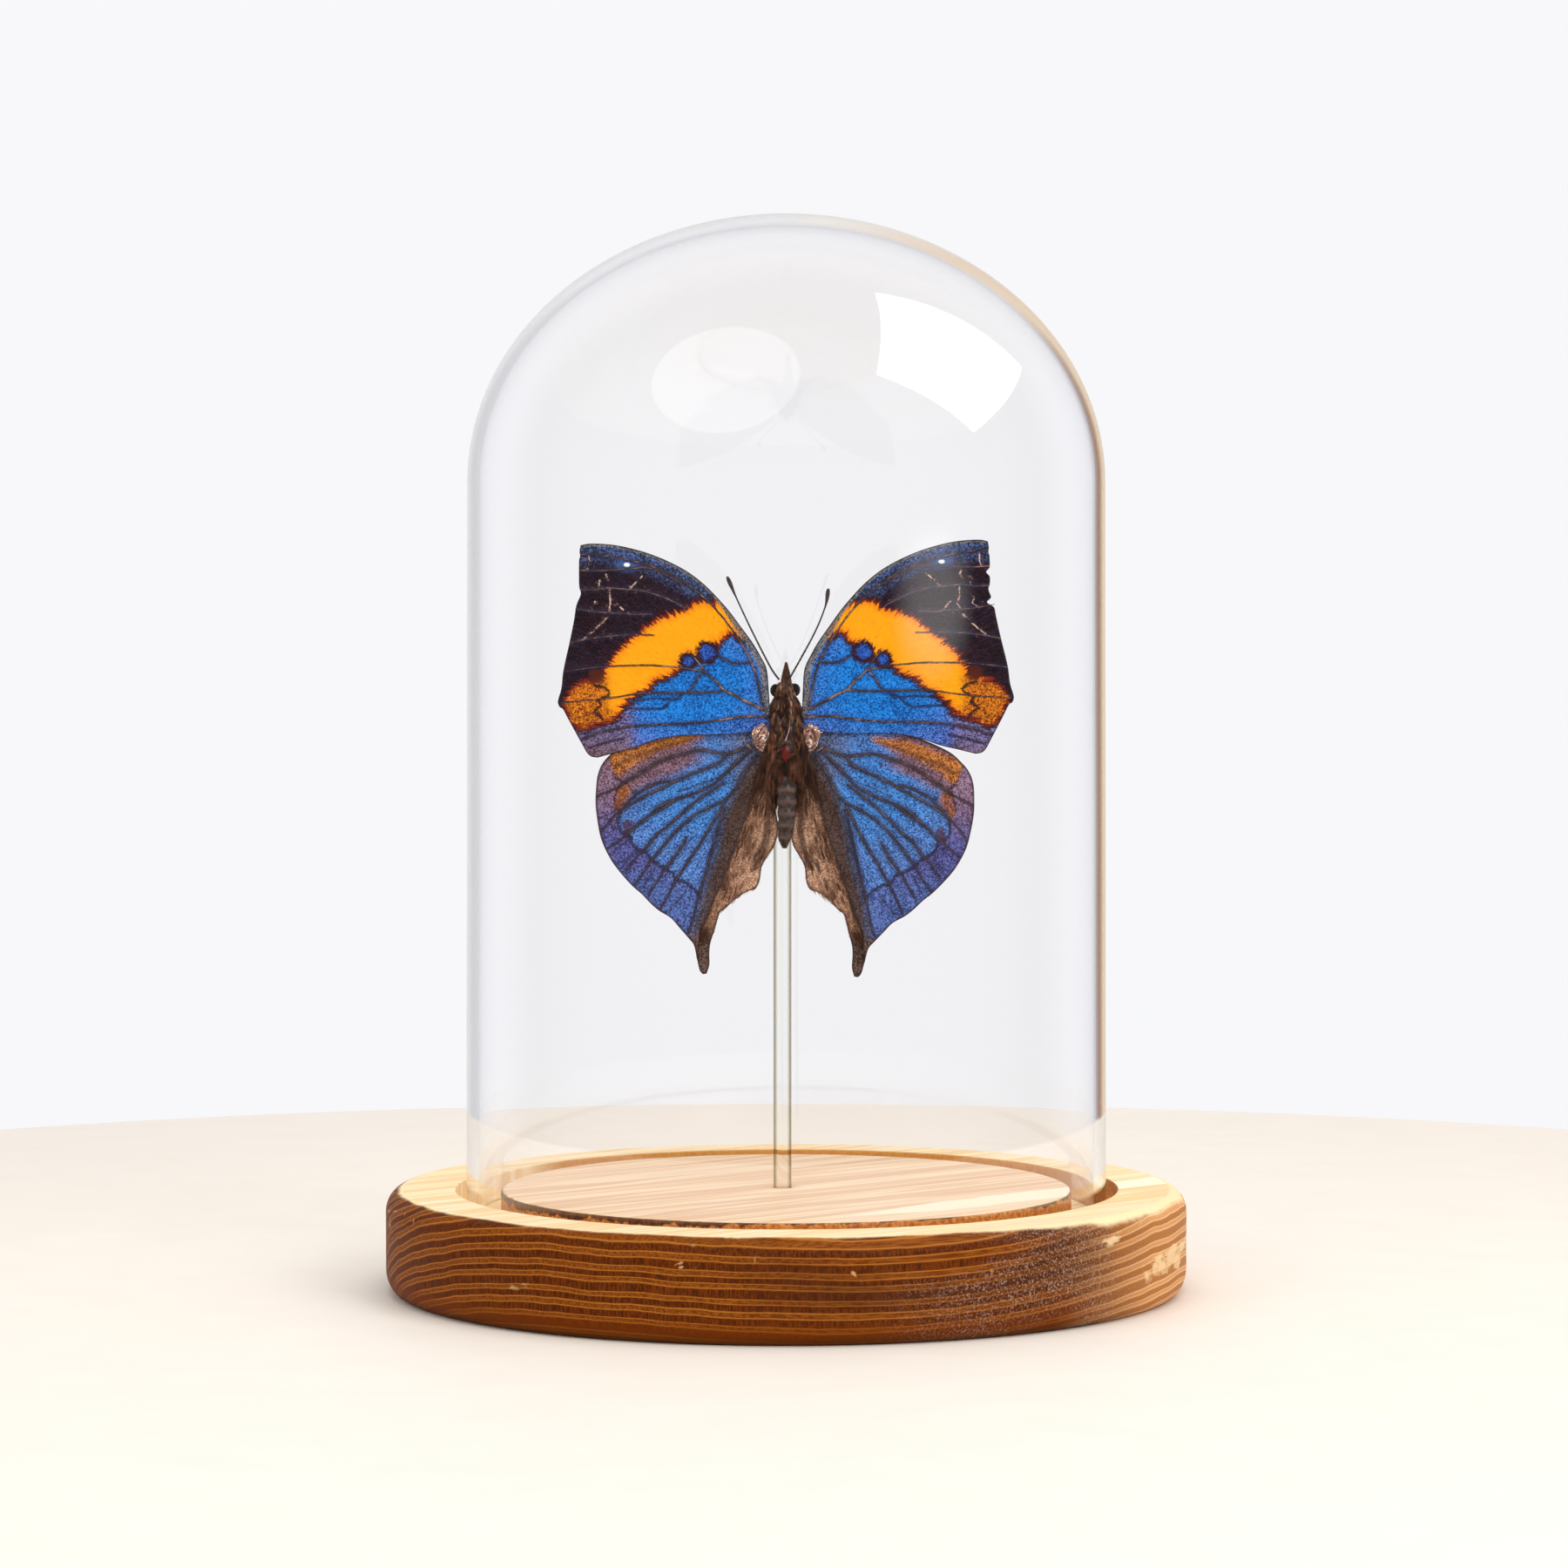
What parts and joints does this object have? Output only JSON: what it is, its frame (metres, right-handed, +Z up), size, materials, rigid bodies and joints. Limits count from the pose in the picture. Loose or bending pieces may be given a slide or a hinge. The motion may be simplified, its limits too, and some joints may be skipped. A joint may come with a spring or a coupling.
{
  "type": "mounted butterfly in glass dome",
  "caption": "Set dead-leaf butterfly fixed to a clear rod under a domed glass cover on a round turned wooden base.",
  "frame": {"origin": "middle of the base's flat underside", "axes": "+Z up along the dome's axis; -Y towards the front, which the upper side of the wings faces; +X to the right seen from the front"},
  "size_m": [0.15, 0.15, 0.201],
  "materials": {
    "turned_wood": "fine sanded pale softwood top with scorched brown side and groove",
    "clear_glass": "clear blown glass, fire polished rim",
    "clear_acrylic": "clear polished rod",
    "clear_glue": "clear set glue",
    "brown_hair": "short brown hair and scales over a dry horny body",
    "dark_horn": "dry dark horny skin",
    "black_eye": "glossy black",
    "wing_scales": "fine wing scales, bright blue, orange, violet black and brown"
  },
  "bodies": {
    "root": {"wooden_base": "turned_wood", "glass_dome": "clear_glass", "mounting_rod": "clear_acrylic", "glue_bead": "clear_glue", "thorax": "brown_hair", "abdomen": "brown_hair", "head": "brown_hair", "eye_left": "black_eye", "eye_right": "black_eye", "palp_left": "brown_hair", "palp_right": "brown_hair", "antenna_left": "dark_horn", "antenna_right": "dark_horn", "forewing_left": "wing_scales", "forewing_right": "wing_scales", "hindwing_left": "wing_scales", "hindwing_right": "wing_scales", "leg_mid_left": "dark_horn", "leg_mid_right": "dark_horn", "leg_hind_left": "dark_horn", "leg_hind_right": "dark_horn"}
  },
  "joints": []
}
